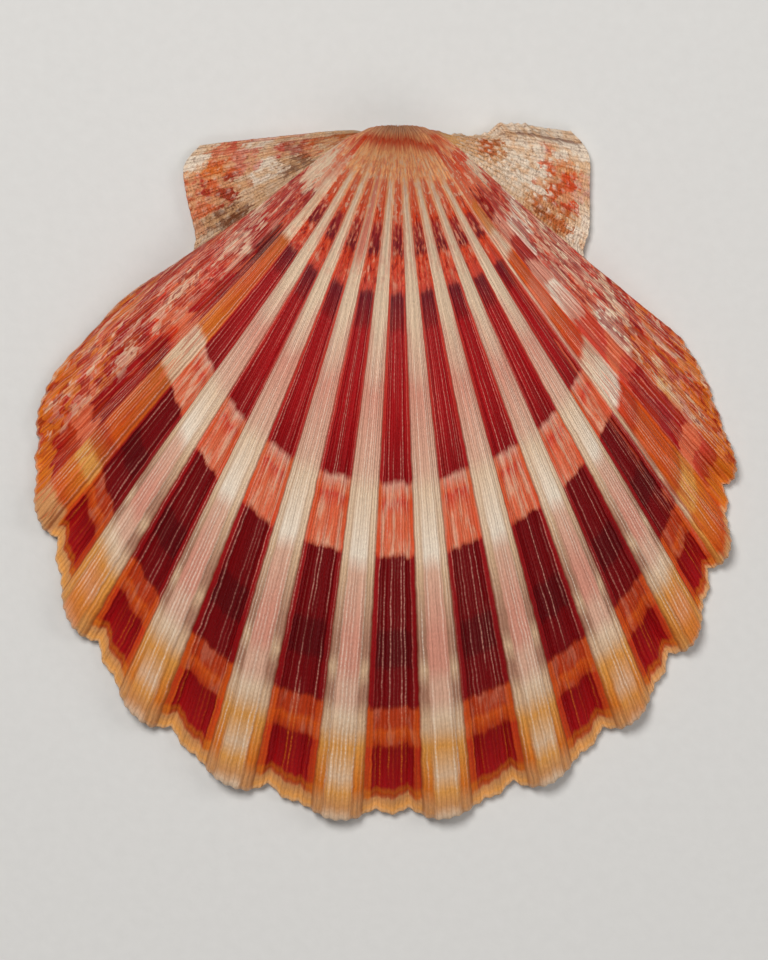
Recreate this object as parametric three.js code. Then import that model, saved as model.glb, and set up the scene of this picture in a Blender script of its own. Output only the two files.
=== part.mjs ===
// One valve of a scallop: a single closed shell, lying on its margin with the
// convex side up. Millimetres, +Z up, hinge line along X at the +Y end.
//
// The valve is built the way it grew. Every earlier stage of the shell was a
// smaller copy of its present margin, turned about the hinge line. A point of
// the outside is therefore margin(u) scaled by the growth s (0 at the beak, 1
// at the margin) and turned up from the margin plane by coil(s).
import * as THREE from 'three';

// Disc
const DISC_RADIUS = 32.45;
const DISC_LEAN = THREE.MathUtils.degToRad(-1.84);
const FLANK_LEFT = THREE.MathUtils.degToRad(-56.3);
const FLANK_RIGHT = THREE.MathUtils.degToRad(53.1);
const LEFT_FLANK_BOW = THREE.MathUtils.degToRad(1.7);
const LEFT_BULGE = 0.028;
const LEFT_CORNER_CUT = 0.11;
const RIGHT_CORNER_CUT = 0.115;
const RAY_DRIFT = 0.72;
const FLANK_DRIFT = 0.2;

// Coil of the valve about its hinge line
const COIL_RATE = 0.63;
const COIL_END_OUTSIDE = THREE.MathUtils.degToRad(140);
const COIL_END_INSIDE = THREE.MathUtils.degToRad(75);
const BEAK_OVERHANG = 0.05;

// Ears: where each one leaves the flank, and its outer edge up to the hinge
const LEFT_EAR_ROOT = 23;
const RIGHT_EAR_ROOT = 22;
const LEFT_EAR_EDGE = [[-19.4, -12.2], [-19.0, -10.4], [-19.9, -6.4], [-20.1, -3.7], [-18.6, -1.75]];
const RIGHT_EAR_EDGE = [[17.4, -11.5], [17.95, -9.6], [18.0, -6.0], [17.9, -2.6], [16.2, -0.5]];
const EAR_FLATNESS = 0.5;
const HINGE_FOLD_HEIGHT = 0.7;
const HINGE_FOLD_REACH = 0.55;

// Wall of the shell
const EDGE_THICKNESS = 0.9;
const INSIDE_SCALE = 0.955;
const INSIDE_RISE = 0.95;
const DISC_CENTRE_Y = -DISC_RADIUS;

// Ribs: broad rounded ribs with a riblet in each space between them
const RIB_OFFSET = -0.45;
const RIB_SPACING = 9.34;
const RIB_SKEW = -0.108;
const RIB_CROWDING = -0.0165;
const RIB_HEIGHT = 1.15;
const RIBLET_HEIGHT = 0.3;
const RIB_END_LIFT = 0.45;
const RIB_END_REACH = 0.15;
const MARGIN_NOTCH = 0.75;
const MARGIN_NOTCH_WIDTH = 0.1;
const INSIDE_RIB_SHARE = 0.6;

// Mesh density
const STEPS_PER_RIB = 6;
const WALL_STEPS = 4;
const EAR_STEPS = 9;
const OUTSIDE_ROWS = 24;
const INSIDE_ROWS = 12;

// Direction in which rib number `rib` meets the margin. Whole numbers are the
// middles of the spaces, counted from the middle of the disc.
function ribAngle(rib) {
  const deg = RIB_OFFSET + rib * (RIB_SPACING + rib * (RIB_SKEW + rib * RIB_CROWDING));
  return THREE.MathUtils.degToRad(deg);
}

function ribNumber(th) {
  let rib = th / ribAngle(1);
  for (let k = 0; k < 8; k += 1) {
    rib -= (ribAngle(rib) - th) / (ribAngle(1) - ribAngle(0));
  }
  return rib;
}

function clamp01(x) {
  return Math.min(1, Math.max(0, x));
}

function smooth(a, b, x) {
  const t = clamp01((x - a) / (b - a));
  return t * t * (3 - 2 * t);
}

function coil(s, end) {
  return Math.min(-COIL_RATE * Math.log(s), end);
}

// Radius of the disc from the umbo, in the direction a from straight down.
function discRadius(a) {
  const deg = THREE.MathUtils.radToDeg(a);
  const bulge = 1 + LEFT_BULGE * Math.exp(-(((deg + 49) / 5) ** 2));
  const leftCut = 1 - LEFT_CORNER_CUT * clamp01((-deg - 53) / 3.3) ** 2;
  const rightCut = 1 - RIGHT_CORNER_CUT * clamp01((deg - 43) / 10.4) ** 2;
  return 2 * DISC_RADIUS * Math.cos(a - DISC_LEAN) * bulge * leftCut * rightCut;
}

// Rays bend outwards as the valve grows, and its two flanks less than they do.
function rayDirection(th, s) {
  const young = (1 - s) ** 3;
  const flank = th < 0 ? FLANK_LEFT : FLANK_RIGHT;
  const share = (th / flank) ** 4;
  return th * (1 - young * (RAY_DRIFT + (FLANK_DRIFT - RAY_DRIFT) * share));
}

// 1 over the broad ribs of the middle, falling off over the two side fields.
function middleField(th) {
  return smooth(FLANK_LEFT, FLANK_LEFT + 0.22, th) * smooth(FLANK_RIGHT, FLANK_RIGHT - 0.22, th);
}

// Height of the ribbing from 0 in a furrow to 1 on a rib.
function ribWave(rib) {
  const p = Math.abs(rib - Math.round(rib));
  const flank = smooth(0.12, 0.46, p);
  const riblet = (RIBLET_HEIGHT / RIB_HEIGHT) * (1 - smooth(0.0, 0.14, p));
  return Math.max(flank, riblet);
}

// The margin as a list of stations from the left hinge corner, round the
// ventral edge, to the right hinge corner.
function buildStations() {
  const stations = [];
  const flankPoint = (a, r) => [r * Math.sin(a), -r * Math.cos(a)];
  const ear = (edge, flank, root) => {
    const knots = [flankPoint(flank, root), ...edge].map(([x, y]) => new THREE.Vector2(x, y));
    return new THREE.SplineCurve(knots).getSpacedPoints(EAR_STEPS);
  };
  const left = ear(LEFT_EAR_EDGE, FLANK_LEFT, LEFT_EAR_ROOT);
  for (let k = EAR_STEPS; k > 0; k -= 1) {
    stations.push({ kind: 'ear', x: left[k].x, y: left[k].y, flat: k / EAR_STEPS });
  }
  const leftEnd = discRadius(FLANK_LEFT);
  for (let k = 0; k < WALL_STEPS; k += 1) {
    const r = LEFT_EAR_ROOT + (leftEnd - LEFT_EAR_ROOT) * (k / WALL_STEPS);
    const bow = LEFT_FLANK_BOW * Math.sin((Math.PI * k) / WALL_STEPS);
    const [x, y] = flankPoint(FLANK_LEFT - bow, r);
    stations.push({ kind: 'wall', x, y, flat: 0 });
  }
  const first = ribNumber(FLANK_LEFT);
  const last = ribNumber(FLANK_RIGHT);
  const disc = (rib) => stations.push({ kind: 'disc', rib, th: ribAngle(rib) });
  disc(first);
  const from = Math.ceil(first * STEPS_PER_RIB + 0.3);
  const to = Math.floor(last * STEPS_PER_RIB - 0.3);
  for (let k = from; k <= to; k += 1) {
    disc(k / STEPS_PER_RIB);
  }
  disc(last);
  const rightEnd = discRadius(FLANK_RIGHT);
  for (let k = WALL_STEPS - 1; k >= 0; k -= 1) {
    const r = RIGHT_EAR_ROOT + (rightEnd - RIGHT_EAR_ROOT) * (k / WALL_STEPS);
    const [x, y] = flankPoint(FLANK_RIGHT, r);
    stations.push({ kind: 'wall', x, y, flat: 0 });
  }
  const right = ear(RIGHT_EAR_EDGE, FLANK_RIGHT, RIGHT_EAR_ROOT);
  for (let k = 1; k <= EAR_STEPS; k += 1) {
    stations.push({ kind: 'ear', x: right[k].x, y: right[k].y, flat: k / EAR_STEPS });
  }
  return stations;
}

// The smooth growth surface, before ribs and wall thickness.
function growthPoint(station, s, coilEnd) {
  const phi = coil(s, coilEnd);
  let mx = station.x;
  let my = station.y;
  let turn = phi;
  if (station.kind === 'disc') {
    const a = rayDirection(station.th, s);
    const r = discRadius(a);
    mx = r * Math.sin(a);
    my = -r * Math.cos(a);
  } else {
    turn = phi * (1 - EAR_FLATNESS * station.flat);
    const inward = 1 - FLANK_DRIFT * (1 - s) ** 3 * (1 - station.flat);
    const a = Math.atan2(station.x, -station.y) * inward;
    const r = Math.hypot(station.x, station.y);
    mx = r * Math.sin(a);
    my = -r * Math.cos(a);
  }
  const y = s * my * Math.cos(turn);
  const z = -s * my * Math.sin(turn);
  return new THREE.Vector3(s * mx, y > 0 ? y * BEAK_OVERHANG : y, z);
}

function discNormal(th, s) {
  const at = (t, g) => growthPoint({ kind: 'disc', th: t }, g, COIL_END_OUTSIDE);
  const dth = at(th + 0.002, s).sub(at(th - 0.002, s));
  const ds = at(th, s * 1.004).sub(at(th, s * 0.996));
  return dth.cross(ds).normalize().negate();
}

// The scaly fold along the hinge edge of the right ear.
function hingeFold(station, s) {
  if (station.kind !== 'ear' || station.x < 0) {
    return 0;
  }
  const along = smooth(0.3, 0.6, s) * (1 - 0.85 * smooth(0.7, 1, s));
  return along * smooth(0.72, 1, station.flat);
}

function outsidePoint(station, s) {
  const p = growthPoint(station, s, COIL_END_OUTSIDE);
  if (station.kind === 'disc') {
    const field = middleField(station.th);
    const wave = ribWave(station.rib) * field;
    const n = discNormal(station.th, s);
    p.addScaledVector(n, RIB_HEIGHT * s * (wave - 0.5 * field) * smooth(0.03, 0.12, s));
    const reach = 1 + (marginReach(station.rib) * field * smooth(0.85, 1, s)) / p.length();
    p.x *= reach;
    p.y *= reach;
  }
  p.z = Math.max(p.z, 0) + EDGE_THICKNESS + marginLift(station) * smooth(0.9, 1, s);
  const fold = hingeFold(station, s);
  p.y += HINGE_FOLD_REACH * fold;
  p.z += HINGE_FOLD_HEIGHT * fold;
  return p;
}

// How far the margin reaches past the even disc: rib ends stand out, with a
// notch on the outer side of each space and a pair about the middle one.
function marginReach(rib) {
  const nearest = Math.round(rib);
  const p = rib - nearest;
  const side = Math.max(-1, Math.min(1, nearest));
  const notch = (at) => Math.exp(-(((p - at) / MARGIN_NOTCH_WIDTH) ** 2));
  const depth = side === 0 ? 0.5 * (notch(0.15) + notch(-0.15)) : notch(0.12 * side);
  return RIB_END_REACH * Math.cos(2 * Math.PI * (p - 0.5)) - MARGIN_NOTCH * depth + 0.1;
}

// Rib ends stand clear of the plane that the spaces between them rest on.
function marginLift(station) {
  if (station.kind !== 'disc') {
    return 0;
  }
  return RIB_END_LIFT * smooth(0.3, 0.85, ribWave(station.rib)) * middleField(station.th);
}

function insidePoint(station, s) {
  const p = growthPoint(station, s, COIL_END_INSIDE);
  if (station.kind === 'disc') {
    const field = middleField(station.th);
    const wave = (ribWave(station.rib) - 0.5) * field;
    const n = discNormal(station.th, Math.max(s, 0.3));
    const share = INSIDE_RIB_SHARE * smooth(0.45, 1, s);
    p.addScaledVector(n, RIB_HEIGHT * s * wave * share);
  }
  const lift = marginLift(station) * smooth(0.9, 1, s);
  const y = DISC_CENTRE_Y + (p.y - DISC_CENTRE_Y) * INSIDE_SCALE;
  return new THREE.Vector3(p.x * INSIDE_SCALE, y, Math.max(p.z, 0) * INSIDE_RISE + lift);
}

function valveGeometry() {
  const stations = buildStations();
  const across = stations.length;
  const positions = [];
  const index = [];
  const add = (p) => {
    positions.push(p.x, p.y, p.z);
    return positions.length / 3 - 1;
  };
  const tipOutside = Math.exp(-COIL_END_OUTSIDE / COIL_RATE);
  const tipInside = Math.exp(-COIL_END_INSIDE / COIL_RATE);
  const growth = (row, rows, tip) => tip ** ((row / rows) ** 1.25);

  const outside = [];
  for (let row = 0; row < OUTSIDE_ROWS; row += 1) {
    const s = growth(row, OUTSIDE_ROWS, tipOutside);
    outside.push(stations.map((station) => add(outsidePoint(station, s))));
  }
  const beak = add(new THREE.Vector3(0, 0, EDGE_THICKNESS));

  const flat = (p, lift) => new THREE.Vector3(p.x, p.y, lift);
  const foot = stations.map((station, k) => {
    const p = new THREE.Vector3().fromArray(positions, outside[0][k] * 3);
    return add(flat(p, marginLift(station)));
  });

  const inside = [];
  for (let row = 0; row < INSIDE_ROWS; row += 1) {
    const s = growth(row, INSIDE_ROWS, tipInside);
    inside.push(stations.map((station) => {
      const p = insidePoint(station, s);
      const edge = station === stations[0] || station === stations[across - 1];
      return add(row === 0 || edge ? flat(p, marginLift(station)) : p);
    }));
  }
  const pocket = add(insidePoint({ kind: 'ear', x: 0, y: 0, flat: 0 }, tipInside));

  const quad = (a, b, c, d) => index.push(a, b, c, a, c, d);
  for (let k = 0; k + 1 < across; k += 1) {
    for (let row = 0; row + 1 < OUTSIDE_ROWS; row += 1) {
      const near = outside[row];
      const far = outside[row + 1];
      quad(near[k], near[k + 1], far[k + 1], far[k]);
    }
    const tip = outside[OUTSIDE_ROWS - 1];
    index.push(tip[k], tip[k + 1], beak);
    quad(foot[k], foot[k + 1], outside[0][k + 1], outside[0][k]);
    quad(inside[0][k], inside[0][k + 1], foot[k + 1], foot[k]);
    for (let row = 0; row + 1 < INSIDE_ROWS; row += 1) {
      const near = inside[row];
      const far = inside[row + 1];
      quad(far[k], far[k + 1], near[k + 1], near[k]);
    }
    const end = inside[INSIDE_ROWS - 1];
    index.push(pocket, end[k + 1], end[k]);
  }

  // Hinge edge: down the back of both ears, then flat to the inside.
  const last = across - 1;
  const dorsal = [];
  const hinge = [];
  const cavity = [];
  const visit = (rows, column, list) => rows.forEach((line) => list.push(line[column]));
  visit(outside, 0, dorsal);
  dorsal.push(beak);
  visit([...outside].reverse(), last, dorsal);
  visit(inside, 0, cavity);
  cavity.push(pocket);
  visit([...inside].reverse(), last, cavity);
  dorsal.forEach((vertex, k) => {
    const p = new THREE.Vector3().fromArray(positions, vertex * 3);
    if (k === 0) {
      hinge.push(foot[0]);
    } else if (k === dorsal.length - 1) {
      hinge.push(foot[last]);
    } else {
      hinge.push(add(flat(p, 0)));
    }
  });
  for (let k = 0; k + 1 < dorsal.length; k += 1) {
    quad(dorsal[k], dorsal[k + 1], hinge[k + 1], hinge[k]);
  }
  const x = (vertex) => positions[vertex * 3];
  let a = 0;
  let b = 0;
  while (a + 1 < hinge.length || b + 1 < cavity.length) {
    const stepHinge = b + 1 === cavity.length
      || (a + 1 < hinge.length && x(hinge[a + 1]) < x(cavity[b + 1]));
    if (stepHinge) {
      index.push(hinge[a], hinge[a + 1], cavity[b]);
      a += 1;
    } else {
      index.push(hinge[a], cavity[b + 1], cavity[b]);
      b += 1;
    }
  }

  const geometry = new THREE.BufferGeometry();
  geometry.setAttribute('position', new THREE.Float32BufferAttribute(positions, 3));
  geometry.setIndex(index);
  geometry.computeVertexNormals();
  return geometry;
}

const shellColour = new THREE.MeshStandardMaterial({
  color: 0xb5563f,
  roughness: 0.42,
  metalness: 0,
});

const valve = new THREE.Mesh(valveGeometry(), shellColour);
valve.name = 'right_valve';

// The frame's origin is under the middle of the valve's bounding box.
valve.geometry.computeBoundingBox();
const box = valve.geometry.boundingBox;
valve.position.set(-(box.min.x + box.max.x) / 2, -(box.min.y + box.max.y) / 2, -box.min.z);

const scallop = new THREE.Group();
scallop.add(valve);

export default scallop;
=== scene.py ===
import math

import bpy
import numpy as np
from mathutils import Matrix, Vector


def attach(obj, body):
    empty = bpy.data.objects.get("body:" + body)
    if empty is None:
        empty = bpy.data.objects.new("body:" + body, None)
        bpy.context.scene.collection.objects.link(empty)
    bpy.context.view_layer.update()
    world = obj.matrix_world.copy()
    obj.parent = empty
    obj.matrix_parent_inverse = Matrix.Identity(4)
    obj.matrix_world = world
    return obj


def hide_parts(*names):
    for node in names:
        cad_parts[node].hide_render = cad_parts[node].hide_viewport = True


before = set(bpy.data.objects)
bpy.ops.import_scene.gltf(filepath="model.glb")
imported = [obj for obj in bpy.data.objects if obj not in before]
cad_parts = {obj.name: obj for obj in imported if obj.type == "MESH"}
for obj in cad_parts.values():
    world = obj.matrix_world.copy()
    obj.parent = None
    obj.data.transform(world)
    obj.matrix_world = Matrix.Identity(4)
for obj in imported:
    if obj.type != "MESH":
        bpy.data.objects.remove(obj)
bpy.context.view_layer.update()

# ---------------------------------------------------------------- dimensions
# Millimetres and radians, as the valve's CAD solid has them. The umbo is the
# origin here, and UMBO is its place in the row frame.
UMBO = np.array([1.245, 32.413, 0.0])

DISC_RADIUS = 32.45
DISC_LEAN = math.radians(-1.84)
FLANK_LEFT = math.radians(-56.3)
FLANK_RIGHT = math.radians(53.1)
LEFT_FLANK_BOW = math.radians(1.7)
LEFT_BULGE = 0.028
LEFT_CORNER_CUT = 0.11
RIGHT_CORNER_CUT = 0.115
RAY_DRIFT = 0.72
FLANK_DRIFT = 0.2
COIL_RATE = 0.63
COIL_END_OUTSIDE = math.radians(140)
COIL_END_INSIDE = math.radians(75)
BEAK_OVERHANG = 0.05
BEAK_ARCH = 0.01
BEAK_DROP = 0.42
TIP_RIDGE_HEIGHT = 0.08
EAR_LAMELLAE = 21
LEFT_EAR_ROOT = 23.0
RIGHT_EAR_ROOT = 22.0
LEFT_EAR_EDGE = [(-19.4, -12.2), (-19.0, -10.4), (-19.9, -6.4), (-20.1, -3.7), (-18.6, -1.75)]
RIGHT_EAR_EDGE = [(17.4, -11.5), (17.95, -9.6), (18.0, -6.0), (17.9, -2.6), (16.2, -0.5)]
EAR_FLATNESS = 0.5
HINGE_FOLD_HEIGHT = 0.7
HINGE_FOLD_REACH = 0.55
EDGE_THICKNESS = 0.9
INSIDE_SCALE = 0.955
INSIDE_RISE = 0.95
DISC_CENTRE_Y = -DISC_RADIUS
RIB_LAW = (-0.45, 9.34, -0.108, -0.0165)
RIB_HEIGHT = 1.15
RIBLET_SHARE = 0.3 / 1.15
RIB_END_LIFT = 0.45
RIB_END_REACH = 0.15
MARGIN_NOTCH = 0.75
MARGIN_NOTCH_WIDTH = 0.1
INSIDE_RIB_SHARE = 0.6

# Mesh density
COLUMNS_PER_RIB = 54
EAR_COLUMNS = 66
WALL_COLUMNS = 8
OUTSIDE_ROWS = 92
INSIDE_ROWS = 20
EDGE_ROWS = 3


def smooth(a, b, x):
    t = np.clip((x - a) / (b - a), 0, 1)
    return t * t * (3 - 2 * t)


def bump(x, centre, width):
    return np.exp(-(((x - centre) / width) ** 2))


def value_noise(x, y, seed):
    """Smooth noise in -1..1 on a lattice of unit cells."""
    table = np.random.default_rng(seed).uniform(-1, 1, (64, 64))
    x0, y0 = np.floor(x).astype(int), np.floor(y).astype(int)
    fx, fy = x - x0, y - y0
    fx, fy = fx * fx * (3 - 2 * fx), fy * fy * (3 - 2 * fy)
    pick = lambda i, j: table[(x0 + i) % 64, (y0 + j) % 64]
    low = pick(0, 0) * (1 - fx) + pick(1, 0) * fx
    high = pick(0, 1) * (1 - fx) + pick(1, 1) * fx
    return low * (1 - fy) + high * fy


# ------------------------------------------------------------ growth surface
def coil(s, end):
    return np.minimum(-COIL_RATE * np.log(s), end)


def disc_radius(a):
    deg = np.degrees(a)
    bulge = 1 + LEFT_BULGE * bump(deg, -49, 5)
    left = 1 - LEFT_CORNER_CUT * np.clip((-deg - 53) / 3.3, 0, 1) ** 2
    right = 1 - RIGHT_CORNER_CUT * np.clip((deg - 43) / 10.4, 0, 1) ** 2
    return 2 * DISC_RADIUS * np.cos(a - DISC_LEAN) * bulge * left * right


def rib_angle(rib):
    c0, c1, c2, c3 = RIB_LAW
    return np.radians(c0 + rib * (c1 + rib * (c2 + rib * c3)))


def rib_number(th):
    rib = th / rib_angle(1)
    for _ in range(8):
        rib -= (rib_angle(rib) - th) / (rib_angle(1) - rib_angle(0))
    return rib


def middle_field(th):
    return smooth(FLANK_LEFT, FLANK_LEFT + 0.22, th) * (1 - smooth(FLANK_RIGHT - 0.22, FLANK_RIGHT, th))


def catmull(points, samples):
    """Evenly spaced points along a spline through the given points."""
    p = np.array(points, float)
    p = np.vstack([p[:1], p, p[-1:]])
    fine = []
    for k in range(len(points) - 1):
        t = np.linspace(0, 1, 60, endpoint=False)[:, None]
        a, b, c, d = p[k], p[k + 1], p[k + 2], p[k + 3]
        v0, v1 = (c - a) * 0.5, (d - b) * 0.5
        fine.append((2 * b - 2 * c + v0 + v1) * t ** 3 + (-3 * b + 3 * c - 2 * v0 - v1) * t ** 2 + v0 * t + b)
    fine = np.vstack([*fine, p[-1:]])
    run = np.r_[0, np.cumsum(np.linalg.norm(np.diff(fine, axis=0), axis=1))]
    at = np.linspace(0, run[-1], samples + 1)
    return np.stack([np.interp(at, run, fine[:, k]) for k in (0, 1)], 1)


class Stations:
    """Stations round the margin, from the left hinge corner to the right one."""

    def __init__(self):
        flank = lambda a, r: (r * math.sin(a), -r * math.cos(a))
        rows = []
        left = catmull([flank(FLANK_LEFT, LEFT_EAR_ROOT), *LEFT_EAR_EDGE], EAR_COLUMNS)
        for k in range(EAR_COLUMNS, 0, -1):
            rows.append((-1, left[k, 0], left[k, 1], k / EAR_COLUMNS, 0, -7.0))
        end = float(disc_radius(FLANK_LEFT))
        first, last = float(rib_number(FLANK_LEFT)), float(rib_number(FLANK_RIGHT))
        for k in range(WALL_COLUMNS):
            q = k / WALL_COLUMNS
            bow = LEFT_FLANK_BOW * math.sin(math.pi * q)
            x, y = flank(FLANK_LEFT - bow, LEFT_EAR_ROOT + (end - LEFT_EAR_ROOT) * q)
            rows.append((0, x, y, 0, 0, first - 1.1 * (1 - q)))
        count = int(round((last - first) * COLUMNS_PER_RIB))
        for rib in np.linspace(first, last, count + 1):
            rows.append((2, 0, 0, 0, float(rib_angle(rib)), rib))
        end = float(disc_radius(FLANK_RIGHT))
        for k in range(WALL_COLUMNS - 1, -1, -1):
            q = k / WALL_COLUMNS
            x, y = flank(FLANK_RIGHT, RIGHT_EAR_ROOT + (end - RIGHT_EAR_ROOT) * q)
            rows.append((0, x, y, 0, 0, last + 1.1 * (1 - q)))
        right = catmull([flank(FLANK_RIGHT, RIGHT_EAR_ROOT), *RIGHT_EAR_EDGE], EAR_COLUMNS)
        for k in range(1, EAR_COLUMNS + 1):
            rows.append((1, right[k, 0], right[k, 1], k / EAR_COLUMNS, 0, 8.0))
        table = np.array(rows, float)
        self.kind, self.x, self.y, self.flat, self.th, self.rib = table.T
        self.disc = self.kind == 2
        self.ear_left = self.kind == -1
        self.ear_right = self.kind == 1
        self.field = np.where(self.disc, middle_field(self.th), 0)
        self.count = len(table)


def growth(st, s, end):
    """The smooth growth surface at growth values s, shape (rows, columns, 3)."""
    s = np.asarray(s, float)[:, None]
    phi = coil(s, end)
    young = (1 - s) ** 3
    share = (st.th / np.where(st.th < 0, FLANK_LEFT, FLANK_RIGHT)) ** 4
    a = st.th * (1 - young * (RAY_DRIFT + (FLANK_DRIFT - RAY_DRIFT) * share))
    r = disc_radius(a)
    inward = 1 - FLANK_DRIFT * young * (1 - st.flat)
    a_side = np.arctan2(st.x, -st.y) * inward
    r_side = np.hypot(st.x, st.y)
    a = np.where(st.disc, a, a_side)
    r = np.where(st.disc, r, r_side)
    turn = np.where(st.disc, phi, phi * (1 - EAR_FLATNESS * st.flat))
    y = -s * r * np.cos(a) * np.cos(turn)
    z = s * r * np.cos(a) * np.sin(turn)
    x = s * r * np.sin(a)
    y_drop = BEAK_DROP * smooth(-1.6, 0.1, y) * (1 - smooth(0.13, 0.24, s))
    y = np.where(y > 0, y * BEAK_OVERHANG, y) - y_drop
    y = y - BEAK_ARCH * x ** 2 * (1 - smooth(0.06, 0.2, s))
    return np.stack([x, y, z], -1)


def grid_normals(p):
    du = np.gradient(p, axis=1)
    ds = np.gradient(p, axis=0)
    n = np.cross(du, ds)
    n /= np.maximum(np.linalg.norm(n, axis=-1, keepdims=True), 1e-12)
    return n


# --------------------------------------------------------------------- relief
def rib_wave(rib):
    """Broad ribs, the riblet between them, and the furrows that divide both."""
    p = np.abs(rib - np.round(rib))
    wave = np.maximum(smooth(0.12, 0.46, p), RIBLET_SHARE * (1 - smooth(0.0, 0.14, p)))
    wave -= 0.10 * bump(p, 0.15, 0.028) + 0.07 * bump(p, 0.272, 0.018) + 0.09 * bump(p, 0.375, 0.02)
    wave += 0.06 * bump(p, 0.325, 0.026) + 0.05 * bump(p, 0.215, 0.03)
    return wave


def fine_riblets(rib):
    """Fine riblets, ten to each rib and space together, of uneven height."""
    height = 0.75 + 0.45 * value_noise(rib * 10, rib * 0, 3)
    return height * (0.5 + 0.5 * np.cos(2 * np.pi * 10 * rib))


def margin_reach(rib):
    nearest = np.round(rib)
    p = rib - nearest
    side = np.clip(nearest, -1, 1)
    notch = lambda at: bump(p, at, MARGIN_NOTCH_WIDTH)
    depth = np.where(side == 0, 0.5 * (notch(0.15) + notch(-0.15)), notch(0.12 * side))
    return RIB_END_REACH * np.cos(2 * np.pi * (p - 0.5)) - MARGIN_NOTCH * depth + 0.1


def margin_lift(st):
    return np.where(st.disc, RIB_END_LIFT * smooth(0.3, 0.85, rib_wave(st.rib)) * st.field, 0)


# Growth stops: where the margin rested, the shell has a small step.
GROWTH_STOPS = [(0.16, 0.02), (0.245, 0.03), (0.33, 0.05), (0.44, 0.03), (0.555, 0.06),
                (0.645, 0.05), (0.73, 0.04), (0.79, 0.04), (0.848, 0.08), (0.9, 0.06),
                (0.935, 0.05), (0.965, 0.09), (0.985, 0.06)]


def growth_steps(s):
    step = np.zeros_like(s)
    for at, height in GROWTH_STOPS:
        d = (at - s) / 0.012
        step += height * np.where(d > 0, np.exp(-d), 0) * (1 - np.exp(-np.maximum(d, 0) * 6))
    return step


def outside(st, s_rows):
    base = growth(st, s_rows, COIL_END_OUTSIDE)
    n = grid_normals(base)
    s = np.asarray(s_rows)[:, None] * np.ones(st.count)
    young = smooth(0.03, 0.12, s)
    at_tip = smooth(0.015, 0.05, s) * (1 - smooth(0.11, 0.16, s))
    tip_ridges = TIP_RIDGE_HEIGHT * np.cos(2 * np.pi * 2.5 * st.rib) * at_tip
    wave = rib_wave(st.rib) * st.field
    fold = RIB_HEIGHT * s * (wave - 0.5 * st.field) * young
    side = 1 - st.field
    medium = 0.16 * side * (0.5 + 0.5 * np.cos(2 * np.pi * 3.5 * st.rib))
    riblets = (0.09 + 0.06 * side) * fine_riblets(st.rib) * smooth(0.12, 0.5, s)
    over = st.disc | (st.kind == 0)
    relief = np.where(over, fold + (medium + riblets) * np.sqrt(s) + tip_ridges, 0)
    wobble = 0.004 * value_noise(st.rib * 5 + 0 * s, s * 9, 11)
    relief += np.where(over, growth_steps(np.clip(s + wobble, 0, 1)) * smooth(0.1, 0.3, s), 0)
    relief += np.where(over, 0.05 * value_noise(st.rib * 1.6 + 0 * s, s * 16, 5) * s, 0)
    relief += ear_relief(st, s)
    p = base + n * relief[..., None]
    reach = np.where(st.disc, margin_reach(st.rib) * st.field, 0)
    ragged = 0.10 * value_noise(st.rib * 9 + 0 * s, s * 0 + 0.5, 21)
    ragged += 0.06 * np.cos(2 * np.pi * 10 * st.rib)
    reach = (reach + np.where(st.disc, ragged, 0)) * smooth(0.85, 1, s)
    length = np.linalg.norm(base, axis=-1)
    p[..., :2] *= (1 + reach / length)[..., None]
    lift = margin_lift(st) * smooth(0.9, 1, s)
    p[..., 2] = np.maximum(p[..., 2], 0) + EDGE_THICKNESS + lift
    ruffle = hinge_fold(st, s)
    p[..., 1] += HINGE_FOLD_REACH * ruffle[0]
    p[..., 2] += HINGE_FOLD_HEIGHT * ruffle[1]
    return p


def ear_relief(st, s):
    """Riblets fanned from the beak and crossed by growth lamellae, on both ears."""
    v = st.flat
    fan = v * 13
    ribs = 0.5 + 0.5 * np.cos(2 * np.pi * fan)
    lamella = (s * EAR_LAMELLAE + 0.35 * np.cos(2 * np.pi * v * 6.5)) % 1
    scale = np.clip(1.0 - lamella * 1.15, 0, 1) * smooth(0, 0.12, lamella)
    grown = smooth(0.15, 0.4, s) * smooth(0.03, 0.12, v)
    left = grown * (0.16 * ribs + 0.10 * scale * (0.3 + 0.7 * ribs))
    rough = smooth(0.3, 0.5, s) * (1 - smooth(0.84, 0.95, s)) * smooth(0.2, 0.42, v) * (1 - smooth(0.9, 1, v))
    knobs = ribs * scale * (0.6 + 0.8 * value_noise(v * 13 + 0 * s, s * EAR_LAMELLAE, 17))
    right = grown * (0.12 * ribs + 0.10 * scale) + 0.60 * rough * knobs
    return np.where(st.ear_left, left, 0) + np.where(st.ear_right, right, 0)


def hinge_fold(st, s):
    """The scaly fold along the hinge edge: strong on the right ear, slight on the left."""
    dip = 1.1 * smooth(0.18, 0.28, s) * (1 - smooth(0.46, 0.60, s))
    right = (smooth(0.50, 0.60, s) * (1 - 0.85 * smooth(0.7, 1, s)) - dip) * smooth(0.72, 1, st.flat)
    frill = 1 + 0.28 * value_noise(s * 34, st.flat * 3 + 0 * s, 31) + 0.12 * np.cos(2 * np.pi * 23 * s)
    left = 0.25 * smooth(0.1, 0.4, s) * (1 - smooth(0.85, 1, s)) * smooth(0.86, 1, st.flat)
    reach = np.where(st.ear_right, right * frill, np.where(st.ear_left, left * frill * 0.4, 0))
    raised = np.maximum(right, 0) * (0.6 + 0.4 * frill)
    rise = np.where(st.ear_right, raised, np.where(st.ear_left, left * frill, 0))
    return reach, rise


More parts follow.
